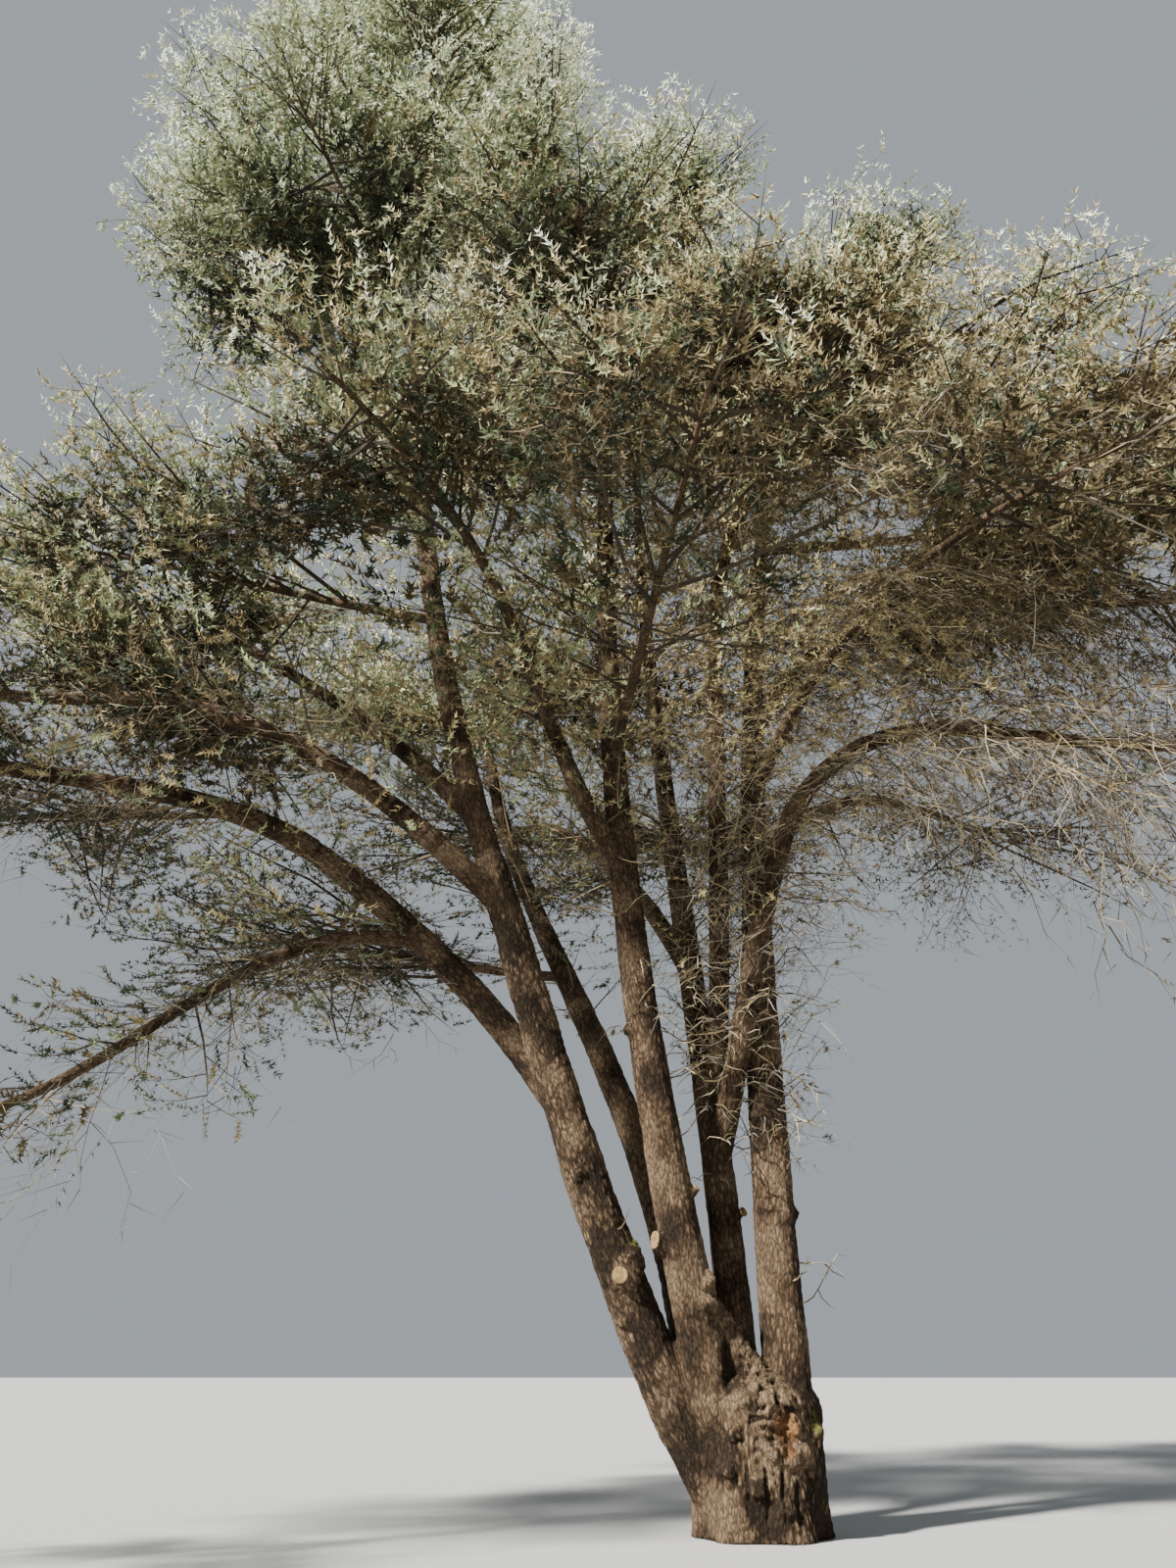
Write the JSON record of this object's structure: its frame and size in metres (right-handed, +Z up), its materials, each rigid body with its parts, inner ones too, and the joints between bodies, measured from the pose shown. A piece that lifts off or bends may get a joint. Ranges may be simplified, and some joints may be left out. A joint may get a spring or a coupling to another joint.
{
  "type": "atlas cedar tree",
  "caption": "Mature atlas cedar, rooted in the ground, with several upright stems from one flared butt, long arching boughs and layered masses of needle foliage.",
  "frame": {"origin": "middle of the flat cut under the butt, at ground level", "axes": "+Z up along the tree's height, +X to the right and +Y away, as seen from the picture's side"},
  "size_m": [23.3892, 18.2741, 27.1034],
  "materials": {
    "bark": "rough scaly bark, fissured along the stems",
    "foliage": "matt needles in sprays, sage to blue-green, on grey-brown twigs"
  },
  "bodies": {
    "root": {"bough_back_low_left": "bark", "bough_back_right": "bark", "bough_front_left": "bark", "bough_front_right": "bark", "bough_left_arch": "bark", "bough_left_drooping": "bark", "bough_left_long": "bark", "bough_left_long_outer": "bark", "bough_left_rising": "bark", "bough_right_high": "bark", "bough_right_low": "bark", "bough_right_middle": "bark", "bough_right_shoulder": "bark", "butt": "bark", "foliage_back_left_high": "foliage", "foliage_back_left_low": "foliage", "foliage_back_low": "foliage", "foliage_back_middle": "foliage", "foliage_back_right": "foliage", "foliage_centre_back": "foliage", "foliage_centre_front": "foliage", "foliage_centre_inner": "foliage", "foliage_centre_top": "foliage", "foliage_front_left": "foliage", "foliage_front_low": "foliage", "foliage_front_right": "foliage", "foliage_left_arch": "foliage", "foliage_left_back": "foliage", "foliage_left_drooping": "foliage", "foliage_left_front": "foliage", "foliage_left_low": "foliage", "foliage_left_low_back": "foliage", "foliage_left_low_inner": "foliage", "foliage_left_shoulder": "foliage", "foliage_middle_back": "foliage", "foliage_middle_front": "foliage", "foliage_middle_left": "foliage", "foliage_right_back": "foliage", "foliage_right_front": "foliage", "foliage_right_high": "foliage", "foliage_right_inner": "foliage", "foliage_right_low": "foliage", "foliage_right_middle": "foliage", "foliage_right_shoulder": "foliage", "foliage_right_top": "foliage", "foliage_top": "foliage", "foliage_top_back": "foliage", "foliage_top_front": "foliage", "foliage_top_left": "foliage", "foliage_top_right": "foliage", "foliage_upper_left": "foliage", "foliage_upper_right": "foliage", "leader": "bark", "stem_back_left": "bark", "stem_centre": "bark", "stem_centre_right": "bark", "stem_leaning_right": "bark", "stem_left": "bark", "stem_middle": "bark", "stem_right": "bark"}
  },
  "joints": []
}
